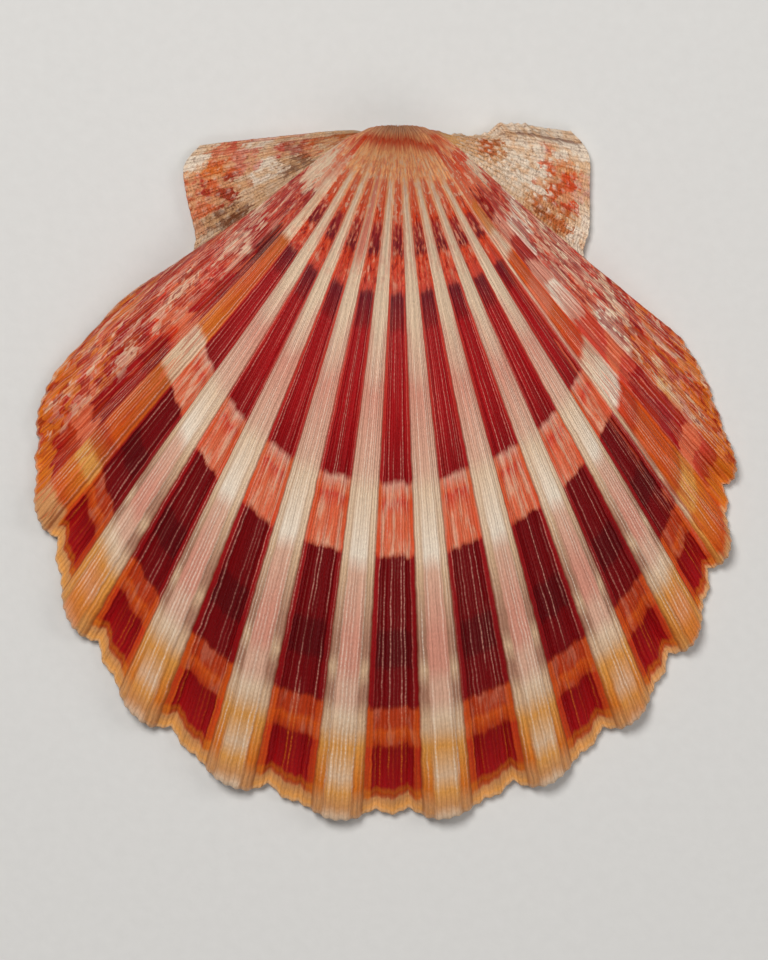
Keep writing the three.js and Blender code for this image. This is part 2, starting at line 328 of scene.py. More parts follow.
def inside(st, s_rows):
    base = growth(st, s_rows, COIL_END_INSIDE)
    s = np.asarray(s_rows)[:, None] * np.ones(st.count)
    n = grid_normals(base)
    wave = (rib_wave(st.rib) - 0.5) * st.field
    rel = RIB_HEIGHT * s * wave * INSIDE_RIB_SHARE * smooth(0.45, 1, s)
    p = base + n * np.where(st.disc, rel, 0)[..., None]
    lift = margin_lift(st) * smooth(0.9, 1, s)
    q = p.copy()
    q[..., 0] = p[..., 0] * INSIDE_SCALE
    q[..., 1] = DISC_CENTRE_Y + (p[..., 1] - DISC_CENTRE_Y) * INSIDE_SCALE
    q[..., 2] = np.maximum(p[..., 2], 0) * INSIDE_RISE + lift
    # The adductor scar: a shallow oval print with a raised rim, towards the back.
    dx, dy = (q[..., 0] + 6.0) / 8.5, (q[..., 1] + 27.0) / 7.5
    d = np.hypot(dx, dy)
    q[..., 2] += 0.16 * (1 - smooth(0.86, 1.0, d)) - 0.12 * bump(d, 1.05, 0.09)
    return q


# ----------------------------------------------------------------------- mesh
def build_valve():
    st = Stations()
    tip_out = math.exp(-COIL_END_OUTSIDE / COIL_RATE)
    tip_in = math.exp(-COIL_END_INSIDE / COIL_RATE)
    rows = lambda n, tip: tip ** ((np.arange(n) / n) ** 1.45)
    s_out = rows(OUTSIDE_ROWS, tip_out)
    s_in = rows(INSIDE_ROWS, tip_in)
    top = outside(st, s_out)
    under = inside(st, s_in)
    lift = margin_lift(st)
    under[0, :, 2] = lift
    under[:, 0, 2] = 0
    under[:, -1, 2] = 0

    n = st.count
    verts, attrs = [], []

    def add(points, rib, s, v, side):
        base = sum(len(b) for b in verts)
        points = np.asarray(points, float).reshape(-1, 3)
        verts.append(points)
        ones = np.ones(len(points))
        attrs.append(np.stack([np.broadcast_to(a, (len(points),)) * ones for a in (rib, s, v, side)], 1))
        return base

    side = np.where(st.ear_left, -1, np.where(st.ear_right, 1, 0))

    def add_grid(points, s_rows):
        tiled = [np.tile(row, len(s_rows)) for row in (st.rib, st.flat, side)]
        return add(points, tiled[0], np.repeat(s_rows, n), tiled[1], tiled[2])

    out0 = add_grid(top, s_out)
    out = lambda r: out0 + r * n + np.arange(n)
    beak = add([[0, 0, EDGE_THICKNESS]], 0, 0, 0, 0)

    # Rounded edge, then the sole of the margin
    edge_top = top[0]
    outward = edge_top[:, :2] - under[0, :, :2]
    outward /= np.maximum(np.linalg.norm(outward, axis=1, keepdims=True), 1e-9)
    edges = []
    for k in range(1, EDGE_ROWS + 1):
        t = k / (EDGE_ROWS + 1)
        q = edge_top.copy()
        q[:, :2] += outward * 0.10 * math.sin(math.pi * t)
        q[:, 2] = lift + (edge_top[:, 2] - lift) * (1 - t)
        edges.append(add(q, st.rib, 1.0, st.flat, side))
    q = edge_top.copy()
    q[:, 2] = lift
    foot = add(q, st.rib, 1.0, st.flat, side)
    in0 = add_grid(under, s_in)
    ins = lambda r: in0 + r * n + np.arange(n)
    pocket_xyz = [0, DISC_CENTRE_Y * (1 - INSIDE_SCALE), 0]
    pocket = add([pocket_xyz], 0, 0, 0, 0)

    quads, tris = [], []
    quad_slot, tri_slot = [], []
    ear_face = (st.kind[:-1] * st.kind[1:] == 1) | (np.abs(st.kind[:-1]) == 1) | (np.abs(st.kind[1:]) == 1)

    def strip(a, b, slot):
        """Quads between two rows of vertices, a nearer the margin on the outside."""
        quads.append(np.stack([a[:-1], a[1:], b[1:], b[:-1]], 1))
        quad_slot.append(np.broadcast_to(slot, (len(a) - 1,)))

    skin = np.where(ear_face, 1, 0)
    for r in range(OUTSIDE_ROWS - 1):
        strip(out(r), out(r + 1), skin)
    tip = out(OUTSIDE_ROWS - 1)
    tris.append(np.stack([tip[:-1], tip[1:], np.full(n - 1, beak)], 1))
    tri_slot.append(np.zeros(n - 1, int))
    ring = [out(0)] + [e + np.arange(n) for e in edges] + [foot + np.arange(n)]
    for a, b in zip(ring[:-1], ring[1:]):
        strip(b, a, skin)
    strip(ins(0), foot + np.arange(n), 2)
    for r in range(INSIDE_ROWS - 1):
        strip(ins(r + 1), ins(r), 2)
    end = ins(INSIDE_ROWS - 1)
    tris.append(np.stack([np.full(n - 1, pocket), end[1:], end[:-1]], 1))
    tri_slot.append(np.full(n - 1, 2))

    # Hinge edge
    all_v = np.vstack(verts)
    dorsal = [out(r)[0] for r in range(OUTSIDE_ROWS)] + [beak]
    dorsal += [out(r)[-1] for r in reversed(range(OUTSIDE_ROWS))]
    cavity = [ins(r)[0] for r in range(INSIDE_ROWS)] + [pocket]
    cavity += [ins(r)[-1] for r in reversed(range(INSIDE_ROWS))]
    feet = all_v[dorsal].copy()
    feet[:, 2] = 0
    inner = feet[1:-1]
    hinge0 = add(inner, 0, 0.5, 1.0, 0)
    hinge = [foot] + list(range(hinge0, hinge0 + len(inner))) + [foot + n - 1]
    # The two corner columns run down the rounded edge
    right_edge = [e + n - 1 for e in edges]
    strip_a, strip_b = np.array(dorsal), np.array(hinge)
    quads.append(np.stack([strip_a[1:-2], strip_a[2:-1], strip_b[2:-1], strip_b[1:-2]], 1))
    quad_slot.append(np.full(len(strip_a) - 3, 1))
    chain = [dorsal[0], *edges, hinge[0]]
    for a, b in zip(chain[:-1], chain[1:]):
        tris.append(np.array([[a, dorsal[1], b]]))
        tri_slot.append(np.array([1]))
    tris.append(np.array([[hinge[0], dorsal[1], hinge[1]]]))
    tri_slot.append(np.array([1]))
    chain = [dorsal[-1], *right_edge, hinge[-1]]
    for a, b in zip(chain[:-1], chain[1:]):
        tris.append(np.array([[a, b, dorsal[-2]]]))
        tri_slot.append(np.array([1]))
    tris.append(np.array([[hinge[-1], hinge[-2], dorsal[-2]]]))
    tri_slot.append(np.array([1]))
    all_v = np.vstack(verts)
    a = b = 0
    while a + 1 < len(hinge) or b + 1 < len(cavity):
        if a + 1 == len(hinge) or b + 1 == len(cavity):
            step_hinge = b + 1 == len(cavity)
        else:
            step_hinge = all_v[hinge[a + 1], 0] < all_v[cavity[b + 1], 0]
        if step_hinge:
            tris.append(np.array([[hinge[a], hinge[a + 1], cavity[b]]]))
            a += 1
        else:
            tris.append(np.array([[hinge[a], cavity[b + 1], cavity[b]]]))
            b += 1
        tri_slot.append(np.array([2]))

    co = (np.vstack(verts) + UMBO) / 1000.0
    attr = np.vstack(attrs)
    quads, tris = np.vstack(quads), np.vstack(tris)
    slots = np.concatenate([*quad_slot, *tri_slot])
    mesh = bpy.data.meshes.new("right_valve_skin")
    mesh.vertices.add(len(co))
    mesh.vertices.foreach_set("co", co.astype(np.float32).ravel())
    loops = np.concatenate([quads.ravel(), tris.ravel()]).astype(np.int32)
    sizes = np.concatenate([np.full(len(quads), 4), np.full(len(tris), 3)])
    starts = np.concatenate([[0], np.cumsum(sizes)[:-1]]).astype(np.int32)
    mesh.loops.add(len(loops))
    mesh.loops.foreach_set("vertex_index", loops)
    mesh.polygons.add(len(sizes))
    mesh.polygons.foreach_set("loop_start", starts)
    mesh.polygons.foreach_set("loop_total", sizes.astype(np.int32))
    mesh.polygons.foreach_set("material_index", slots.astype(np.int32))
    mesh.update(calc_edges=True)
    mesh.validate()
    for k, name in enumerate(("rib", "growth", "across", "side")):
        layer = mesh.attributes.new(name, "FLOAT", "POINT")
        layer.data.foreach_set("value", attr[:, k].astype(np.float32))
    mesh.polygons.foreach_set("use_smooth", np.ones(len(sizes), bool))
    mesh.update()
    return mesh


# ------------------------------------------------------------------ materials
def srgb(r, g, b):
    """Linear colour from 0-255 sRGB values."""
    line = [c / 255 for c in (r, g, b)]
    return tuple(c / 12.92 if c < 0.04 else ((c + 0.055) / 1.055) ** 2.4 for c in line) + (1.0,)


WHITE = srgb(236, 218, 196)
CREAM = srgb(226, 194, 162)
IVORY = srgb(216, 178, 142)
BLUSH = srgb(216, 168, 142)
PINK = srgb(212, 144, 122)
# Painted shade: the pale flank colour darkened as if in shade
PAINTED_SHADE = srgb(174, 126, 102)
BEAK = srgb(246, 174, 116)
TAN = srgb(206, 144, 90)
YELLOW = srgb(220, 150, 70)
AMBER = srgb(214, 112, 28)
ORANGE = srgb(204, 80, 16)
OCHRE = srgb(186, 88, 22)
EMBER = srgb(178, 54, 16)
FLAME = srgb(214, 62, 22)
SALMON = srgb(218, 106, 70)
ROSE = srgb(202, 66, 48)
RASPBERRY = srgb(160, 38, 38)
RED = srgb(162, 12, 16)
CRIMSON = srgb(136, 4, 8)
MAROON = srgb(110, 1, 4)
WINE = srgb(90, 1, 4)
PLUM = srgb(108, 14, 26)
# Painted shade colour: dark plum for the furrows on the rays and the gap by the right ear's hinge fold
PAINTED_DARK_SHADE = srgb(84, 14, 26)
# Brown: the ears' own brown patches, and painted shade in creases, furrows, hollows and under the right ear's
# denticles
BROWN_AND_SHADE = srgb(122, 66, 34)
# Painted highlight colour for the glints along the riblet crests
PAINTED_GLINT = srgb(224, 160, 140)


class Value:
    """A shader socket that works in plain arithmetic."""

    def __init__(self, graph, socket):
        self.graph, self.socket = graph, socket

    def __add__(self, other):
        return self.graph.math("ADD", self, other)

    def __sub__(self, other):
        return self.graph.math("SUBTRACT", self, other)

    def __rsub__(self, other):
        return self.graph.math("SUBTRACT", other, self)

    def __mul__(self, other):
        return self.graph.math("MULTIPLY", self, other)

    __radd__ = __add__
    __rmul__ = __mul__


class Graph:
    """One material's node tree, written as formulas."""

    def __init__(self, name):
        self.material = bpy.data.materials.new(name)
        self.material.use_nodes = True
        self.tree = self.material.node_tree
        self.shader = self.tree.nodes["Principled BSDF"]

    def put(self, value, socket):
        if isinstance(value, Value):
            self.tree.links.new(value.socket, socket)
        else:
            socket.default_value = value

    def node(self, kind, output=0, inputs=(), **settings):
        made = self.tree.nodes.new(kind)
        for key, setting in settings.items():
            setattr(made, key, setting)
        for key, value in dict(inputs).items():
            self.put(value, made.inputs[key])
        return Value(self, made.outputs[output])

    def math(self, operation, *values):
        return self.node("ShaderNodeMath", 0, dict(enumerate(values)), operation=operation)

    def attribute(self, name):
        return self.node("ShaderNodeAttribute", "Fac", attribute_name=name)

    def abs(self, x):
        return self.math("ABSOLUTE", x)

    def round(self, x):
        return self.math("ROUND", x)

    def wave(self, turns):
        return self.math("COSINE", turns * (2 * math.pi)) * 0.5 + 0.5

    def step(self, x, low, high):
        """Smooth 0 to 1 as x goes from low to high."""
        places = {"Value": x, "From Min": low, "From Max": high}
        return self.node("ShaderNodeMapRange", 0, places, interpolation_type="SMOOTHSTEP")

    def band(self, x, low, high, soft):
        """1 between low and high, 0 outside, with soft edges."""
        return self.step(x, low - soft, low + soft) * self.step(x, high + soft, high - soft)

    def vector(self, x, y, z=0.0):
        return self.node("ShaderNodeCombineXYZ", 0, {0: x, 1: y, 2: z})

    def noise(self, x, y, detail=2.0, rough=0.55):
        """Noise of about 0 to 1 with unit-sized blobs in x and y."""
        places = {"Vector": self.vector(x, y), "Scale": 1.0, "Detail": detail, "Roughness": rough}
        return self.node("ShaderNodeTexNoise", "Fac", places, noise_dimensions="2D")

    def chance(self, x, y=0.0):
        """A random value, 0 to 1, for each pair of whole numbers."""
        places = {"Vector": self.vector(x, y)}
        return self.node("ShaderNodeTexWhiteNoise", "Value", places, noise_dimensions="2D")

    def mix(self, under, over, share, blend="MIX"):
        places = {0: share, 6: under, 7: over}
        return self.node("ShaderNodeMix", 2, places, data_type="RGBA", blend_type=blend)

    def ramp(self, x, stops):
        made = self.tree.nodes.new("ShaderNodeValToRGB")
        elements = made.color_ramp.elements
        while len(elements) < len(stops):
            elements.new(0.5)
        for element, (at, colour) in zip(elements, stops):
            element.position, element.color = at, colour
        self.put(x, made.inputs[0])
        return Value(self, made.outputs[0])

    def zones(self, x, *parts, soft=0.004):
        """Bands of colour along x: each part is (its start, its colour or its two end colours)."""
        stops = []
        for k, (start, *colours) in enumerate(parts):
            end = parts[k + 1][0] if k + 1 < len(parts) else 1.0
            stops.append((start + (soft if k else 0), colours[0]))
            stops.append((end - (soft if end < 1 else 0), colours[-1]))
        return self.ramp(x, stops)

    def patches(self, base, x, y, patches):
        """Soft-edged rectangles of colour: (x from, x to, y from, y to, colour, share)."""
        for x0, x1, y0, y1, colour, share in patches:
            inside = self.band(x, x0, x1, 0.018) * self.band(y, y0, y1, 0.012)
            base = self.mix(base, colour, inside * share)
        return base

    def bump(self, height, distance):
        places = {"Strength": 1.0, "Distance": distance, "Height": height}
        return self.node("ShaderNodeBump", "Normal", places)

    def finish(self, colour, rough, normal, specular, coat=0.0):
        self.put(colour, self.shader.inputs["Base Color"])
        self.put(rough, self.shader.inputs["Roughness"])
        self.put(normal, self.shader.inputs["Normal"])
        self.shader.inputs["Specular IOR Level"].default_value = specular
        self.shader.inputs["Coat Weight"].default_value = coat
        self.shader.inputs["Coat Roughness"].default_value = 0.3
        return self.material


def disc_material():
    g = Graph("rayed_disc")
    rib, s = g.attribute("rib"), g.attribute("growth")
    rib = rib + (g.noise(rib * 7, s * 45) - 0.5) * 0.022
    nearest = g.round(rib)
    p = g.abs(rib - nearest)
    riblet = g.round(rib * 10)

    # Zones of growth, their edges stepping slightly from riblet to riblet
    tilt = g.step(rib, 1.0, 5.0) * -0.018 + g.step(rib, 0, -4.0) * 0.004
    jitter = (g.chance(riblet) - 0.5) * 0.005 + (g.chance(nearest, 3.0) - 0.5) * 0.006
    t = s + tilt + jitter + (g.noise(rib * 18, s * 70) - 0.5) * 0.007

    ray = g.zones(
        t, (0, BEAK), (0.118, FLAME, BEAK), (0.15, BEAK), (0.185, SALMON, FLAME),
        (0.245, RASPBERRY, PLUM), (0.285, FLAME, ROSE), (0.33, PLUM, CRIMSON), (0.375, RED),
        (0.47, RED, CRIMSON), (0.555, PINK, SALMON), (0.575, ROSE, SALMON), (0.60, SALMON),
        (0.645, MAROON), (0.74, WINE), (0.79, MAROON, CRIMSON), soft=0.003,
    )
    low = g.zones(
        t, (0, MAROON), (0.845, EMBER), (0.875, ORANGE, EMBER), (0.90, CRIMSON, RED),
        (0.965, OCHRE, EMBER), (0.978, TAN, YELLOW), soft=0.003,
    )
    ray = g.mix(ray, low, g.step(t, 0.838, 0.842))
    lobe = g.zones(
        t, (0, BEAK), (0.118, FLAME, BEAK), (0.15, BEAK), (0.185, BEAK, SALMON), (0.245, SALMON, ROSE),
        (0.285, SALMON, FLAME), (0.33, ROSE), (0.37, ROSE, RED), (0.555, ORANGE, FLAME),
        (0.645, RED, CRIMSON), (0.845, ORANGE), (0.90, FLAME, ORANGE), (0.965, AMBER),
        (0.98, TAN, YELLOW), soft=0.003,
    )
    pale = g.zones(
        t, (0, BEAK), (0.118, FLAME, BEAK), (0.15, BEAK), (0.17, BEAK, CREAM), (0.21, CREAM),
        (0.36, CREAM, BLUSH), (0.44, PINK, BLUSH), (0.555, CREAM, WHITE), (0.655, BLUSH, PINK),
        (0.76, PINK), (0.80, BLUSH), (0.845, CREAM, IVORY), (0.885, YELLOW, IVORY), (0.95, YELLOW),
        (0.97, TAN, CREAM), soft=0.012,
    )
    # The pale ribs' flanks: their own cream and pink, darkened with painted shade of the outer flanks, most
    # of it from growth 0.655 to 0.845
    flank = g.zones(
        t, (0, BEAK), (0.118, FLAME, BEAK), (0.16, BEAK, BLUSH), (0.30, CREAM), (0.37, BLUSH),
        (0.43, PINK, BLUSH), (0.555, CREAM), (0.655, IVORY, PAINTED_SHADE), (0.76, PAINTED_SHADE, IVORY), (0.805, PAINTED_SHADE),
        (0.845, IVORY), (0.885, YELLOW, AMBER), (0.97, TAN), soft=0.012,
    )
    fibre = g.noise(rib * 13, s * 16, 3.0, 0.6)
    light_zone = g.band(t, 0.556, 0.644, 0.004) + g.band(t, 0.846, 0.898, 0.004) * 0.25
    ray = g.mix(ray, CREAM, light_zone * g.step(fibre, 0.46, 0.66) * 0.5)
    ray = g.mix(ray, FLAME, light_zone * g.step(fibre, 0.46, 0.32) * 0.4)
    outer = g.step(g.abs(rib + 0.1), 1.8, 3.8)
    amber_end = g.step(t, 0.87, 0.93) * outer
    pale = g.mix(pale, AMBER, amber_end * 0.75)
    flank = g.mix(flank, YELLOW, amber_end * 0.6)
    rosy = g.band(rib, -1.72, -1.28, 0.03) * g.band(s, 0.17, 0.30, 0.02) * 0.7
    pale = g.mix(pale, ROSE, rosy)

    lobe_share = g.band(p, 0.205, 0.29, 0.012) * (0.35 + 0.6 * g.chance(riblet, 8.0))
    colour = g.mix(ray, lobe, lobe_share)
    colour = g.mix(colour, flank, g.step(p, 0.262, 0.285))
    colour = g.mix(colour, pale, g.step(p, 0.36, 0.40))

    # The two flanks: an orange ray, a maroon ray, then mottled riblets
    u = s + (g.chance(riblet, 1.0) - 0.5) * 0.022 + (g.noise(rib * 2.6, s * 9) - 0.5) * 0.07
    u = u + (g.noise(rib * 14, s * 40) - 0.5) * 0.02
    left_orange = g.zones(
        t, (0, BEAK), (0.118, FLAME), (0.16, SALMON, CREAM), (0.24, IVORY, CREAM), (0.33, OCHRE, ORANGE),
        (0.42, ORANGE, AMBER), (0.55, CREAM, IVORY), (0.645, OCHRE, ORANGE), (0.80, EMBER, OCHRE),
        (0.845, YELLOW), (0.885, AMBER, ORANGE), (0.95, TAN), soft=0.006,
    )
    left_maroon = g.zones(
        u, (0, BEAK), (0.12, FLAME, BEAK), (0.16, SALMON, CREAM), (0.25, RASPBERRY), (0.295, ROSE),
        (0.33, WINE), (0.39, CRIMSON), (0.44, RED, CRIMSON), (0.50, RED), (0.555, SALMON),
        (0.60, FLAME, RED), (0.64, CRIMSON), (0.70, RED, CRIMSON), (0.83, SALMON), (0.885, EMBER, RED),
        (0.955, AMBER),
    )
    left_field = g.zones(
        u, (0, BEAK), (0.12, FLAME, BEAK), (0.15, SALMON, CREAM), (0.18, CREAM), (0.255, RED, RASPBERRY),
        (0.325, ROSE, RED), (0.365, RASPBERRY), (0.40, CREAM, PINK), (0.455, ROSE), (0.54, SALMON),
        (0.63, FLAME, ROSE), (0.68, EMBER), (0.74, RED), (0.80, SALMON), (0.87, ROSE),
        (0.91, ORANGE, AMBER),
    )
    right_orange = g.zones(
        t, (0, BEAK), (0.118, FLAME), (0.16, SALMON), (0.235, AMBER, TAN), (0.29, CREAM), (0.335, ORANGE),
        (0.39, SALMON), (0.45, ORANGE, FLAME), (0.54, CREAM, WHITE), (0.645, FLAME, EMBER),
        (0.70, ORANGE), (0.79, ORANGE, OCHRE), (0.835, YELLOW), (0.88, AMBER, ORANGE), (0.97, TAN),
        soft=0.006,
    )
    right_maroon = g.zones(
        u, (0, BEAK), (0.12, FLAME, BEAK), (0.16, FLAME, SALMON), (0.24, CRIMSON), (0.30, PINK),
        (0.35, RASPBERRY), (0.40, PINK), (0.45, WHITE, PINK), (0.54, ROSE), (0.61, SALMON), (0.655, ROSE),
        (0.70, RED, RASPBERRY), (0.81, RED), (0.84, SALMON), (0.89, ROSE, EMBER), (0.95, AMBER),
    )
    right_inner = g.zones(
        u, (0, BEAK), (0.12, FLAME, BEAK), (0.165, FLAME), (0.21, SALMON), (0.26, RED, ROSE),
        (0.325, WHITE), (0.395, ROSE), (0.445, PINK), (0.49, FLAME, SALMON), (0.59, WHITE, CREAM),
        (0.69, AMBER, ORANGE), (0.77, YELLOW, PINK), (0.87, AMBER, ORANGE), (0.94, AMBER),
    )
    right_field = g.zones(
        u, (0, BEAK), (0.12, FLAME, BEAK), (0.165, FLAME), (0.20, CREAM), (0.25, ROSE), (0.32, WHITE),
        (0.40, SALMON, PINK), (0.44, CREAM), (0.50, PINK), (0.57, ROSE), (0.64, CREAM), (0.70, RED),
        (0.77, FLAME, ROSE), (0.81, SALMON), (0.85, ROSE, EMBER), (0.93, AMBER),
    )
    colour = g.mix(colour, left_orange, g.step(rib, -4.21, -4.25))
    colour = g.mix(colour, left_maroon, g.step(rib, -4.60, -4.64))
    colour = g.mix(colour, left_field, g.step(rib, -4.98, -5.02))
    colour = g.mix(colour, right_orange, g.step(rib, 4.31, 4.35))
    colour = g.mix(colour, right_maroon, g.step(rib, 4.88, 4.92))
    colour = g.mix(colour, right_inner, g.step(rib, 5.36, 5.40))
    colour = g.mix(colour, right_field, g.step(rib, 5.95, 5.99))

    # Blotches that step from riblet to riblet, on the flanks and on the young shell near the beak
    wild = g.step(rib, -4.9, -5.1) + g.step(rib, 5.3, 5.5)
    half_riblet = g.round(rib * 14)
    stepped = s + g.chance(half_riblet, 5.0) * 0.035
    blotch = g.noise(rib * 3.4, stepped * 19, 2.0, 0.55)
    patchy = wild * g.step(s, 0.22, 0.32)
    colour = g.mix(colour, CREAM, patchy * g.step(blotch, 0.56, 0.62) * 0.65)
    colour = g.mix(colour, RED, patchy * g.step(blotch, 0.49, 0.43) * 0.75)
    fleck = g.noise(rib * 6, stepped * 32 + 13, 1.0, 0.6)
    colour = g.mix(colour, PINK, patchy * g.step(fleck, 0.58, 0.62) * 0.5)
    colour = g.mix(colour, CRIMSON, patchy * g.step(fleck, 0.40, 0.36) * 0.7)
    late = wild * g.step(s, 0.66, 0.86)
    colour = g.mix(colour, AMBER, late * g.step(g.noise(rib * 5, stepped * 20 + 40), 0.5, 0.6) * 0.75)
    young = g.band(s, 0.15, 0.325, 0.012)
    speck = g.noise(rib * 5, (s + g.chance(riblet, 6.0) * 0.02) * 60, 3.0, 0.6)
    on_ray = g.step(p, 0.30, 0.24)
    tip_speck = g.noise(rib * 4, s * 90 + 5, 2.0, 0.6) + (g.chance(g.round(rib * 5), 9.0) - 0.5) * 0.1
    colour = g.mix(colour, SALMON, g.step(s, 0.24, 0.16) * g.step(tip_speck, 0.5, 0.62) * 0.5)
    colour = g.mix(colour, CREAM, g.band(s, 0.15, 0.24, 0.01) * g.step(tip_speck, 0.45, 0.36) * 0.6)
    colour = g.mix(colour, SALMON, young * g.step(speck, 0.48, 0.60) * (0.2 + 0.4 * on_ray))
    colour = g.mix(colour, BLUSH, young * g.step(speck, 0.58, 0.70) * 0.5)
    dark_speck = young * g.step(s, 0.20, 0.25) * g.step(speck, 0.43, 0.36)
    colour = g.mix(colour, CRIMSON, dark_speck * (0.08 + 0.62 * on_ray))

    # Long thin streaks of other reds along the maroon and orange rays of the flanks
    sides = g.step(g.abs(rib + 0.1), 4.1, 4.3) * g.step(s, 0.2, 0.32)
    strand = g.noise(rib * 20, s * 10, 1.0, 0.6)
    colour = g.mix(colour, EMBER, sides * g.step(strand, 0.56, 0.62) * 0.5)
    colour = g.mix(colour, SALMON, sides * g.step(strand, 0.38, 0.33) * 0.5)

    # Streaks along the riblets, and fine grain across them
    streak = g.noise(rib * 26, s * 5, 3.0)
    grain = g.noise(rib * 60, s * 170, 2.0, 0.7)
    weave = g.noise(rib * 22, s * 260, 1.0)
    shade = 0.66 + 0.30 * streak + 0.20 * grain + 0.20 * weave
    colour = g.mix(colour, g.vector(shade, shade, shade), 1.0, "MULTIPLY")

    # Painted highlights: thin beaded light lines along the crests. Painted shade: brown-grey lines in the
    # furrows of the pale ribs, dark plum ones in the furrows of the rays, and brown in the creases at the
    # edges of the pale ribs' flanks
    line_at = rib * 24 + (g.noise(rib * 3, s * 6) - 0.5) * 0.8
    line_id = g.round(line_at)
    off_line = g.abs(line_at - line_id)
    bead = g.noise(line_id * 3.7, s * 330, 1.0)
    run = g.noise(line_id * 5.3, s * 7, 1.0)
    on_pale = g.step(p, 0.27, 0.31)
    flanks = g.step(g.abs(rib + 0.1), 4.15, 4.35)
    on_pale = g.math("MAXIMUM", on_pale, flanks * 0.45)
    # Painted highlights: light lines along the riblet crests, whiter on the pale ribs, amber towards the
    # margin
    common = g.step(g.chance(line_id, 2.0) + on_pale * 0.35, 0.38, 0.95)
    fade = g.step(s, 0.24, 0.42) * g.step(s, 0.985, 0.93)
    line = g.step(off_line, 0.30, 0.02) * (0.45 + 0.55 * g.step(bead, 0.42, 0.62)) * (1 - flanks * 0.35)
    line = line * common * g.step(run, 0.30, 0.54) * fade
    colour = g.mix(colour, g.mix(g.mix(PAINTED_GLINT, AMBER, g.step(s, 0.82, 0.9)), WHITE, on_pale), line * 0.6)
    # Painted shade: dark lines in the furrows between the riblets, brown-grey on the pale ribs, dark plum on
    # the rays
    furrow_shade = g.step(off_line, 0.34, 0.5) * g.step(s, 0.2, 0.4) * g.noise(rib * 20, s * 8)
    colour = g.mix(colour, BROWN_AND_SHADE, furrow_shade * on_pale * 0.62)
    colour = g.mix(colour, PAINTED_DARK_SHADE, furrow_shade * (1 - on_pale) * 0.45)
    # Painted shade: brown in the creases along both edges of each pale rib's flank
    crease_shade = g.band(p, 0.266, 0.284, 0.012) + g.band(p, 0.366, 0.38, 0.012) * 0.8
    colour = g.mix(colour, BROWN_AND_SHADE, crease_shade * g.step(s, 0.25, 0.5) * (1 - flanks) * 0.5)

    # Fine ridges on the beak, and the thin worn lip along the margin
    ridge = g.wave(rib * 2.5) * g.step(s, 0.15, 0.11)
    colour = g.mix(colour, EMBER, ridge * 0.42 * g.step(s, 0.02, 0.05))
    colour = g.mix(colour, CREAM, (1 - g.wave(rib * 2.5)) * g.step(s, 0.12, 0.09) * 0.6)
    colour = g.mix(colour, CREAM, g.step(s, 0.993, 1.0) * 0.35)

    scales = g.wave(s * 150 + (g.noise(rib * 30, s * 20) - 0.5) * 2)
    height = g.step(off_line, 0.5, 0.05) * (0.8 + 0.2 * scales) + g.wave(rib * 30) * 0.25 + grain * 0.5
    normal = g.bump(height, 0.00006)
    rough = 0.30 + 0.22 * grain
    return g.finish(colour, rough, normal, 0.18)


# Colour patches of each ear of this one shell: (across from, to, growth from, to, colour, share).
LEFT_EAR_PATCHES = [
    (0.0, 0.34, 0.30, 0.74, IVORY, 0.6), (0.45, 0.90, 0.10, 0.34, OCHRE, 0.7),
    (0.70, 0.86, 0.14, 0.42, OCHRE, 0.7), (0.86, 1.10, 0.33, 0.52, CREAM, 0.9),
    (0.46, 0.88, 0.38, 0.47, ORANGE, 0.7), (0.30, 0.60, 0.43, 0.56, BROWN_AND_SHADE, 0.75),
    (0.63, 0.83, 0.45, 0.57, RASPBERRY, 0.7), (0.64, 0.88, 0.54, 0.60, ROSE, 0.8),
    (0.81, 0.90, 0.42, 0.56, EMBER, 0.7), (0.40, 0.69, 0.57, 0.71, WHITE, 0.8),
    (0.84, 1.0, 0.57, 0.77, WHITE, 0.8), (0.70, 0.80, 0.605, 0.63, RED, 0.5),
    (0.57, 0.86, 0.66, 0.80, ROSE, 0.65), (0.66, 0.70, 0.68, 0.74, RED, 0.5),
    (0.40, 0.50, 0.70, 0.77, OCHRE, 0.5), (0.02, 0.26, 0.70, 0.86, BROWN_AND_SHADE, 0.85),
    (0.14, 0.33, 0.76, 0.93, BROWN_AND_SHADE, 0.85), (0.34, 0.82, 0.78, 0.95, ORANGE, 0.9),
    (0.34, 0.50, 0.78, 0.88, CRIMSON, 0.7), (0.55, 0.62, 0.77, 0.85, CRIMSON, 0.7),
    (0.62, 0.74, 0.83, 0.91, AMBER, 0.6), (0.43, 0.66, 0.905, 0.945, RED, 0.85),
    (0.34, 0.72, 0.95, 1.10, ORANGE, 0.8), (0.80, 1.0, 0.77, 0.90, SALMON, 0.85),
    (0.88, 1.0, 0.76, 0.82, ROSE, 0.6), (0.72, 1.10, 0.92, 1.10, WHITE, 0.85),
    (0.0, 0.20, 0.87, 1.10, CREAM, 0.8), (0.20, 0.34, 0.93, 1.10, OCHRE, 0.5),
    (0.955, 1.10, 0.45, 0.78, ROSE, 0.45),
]

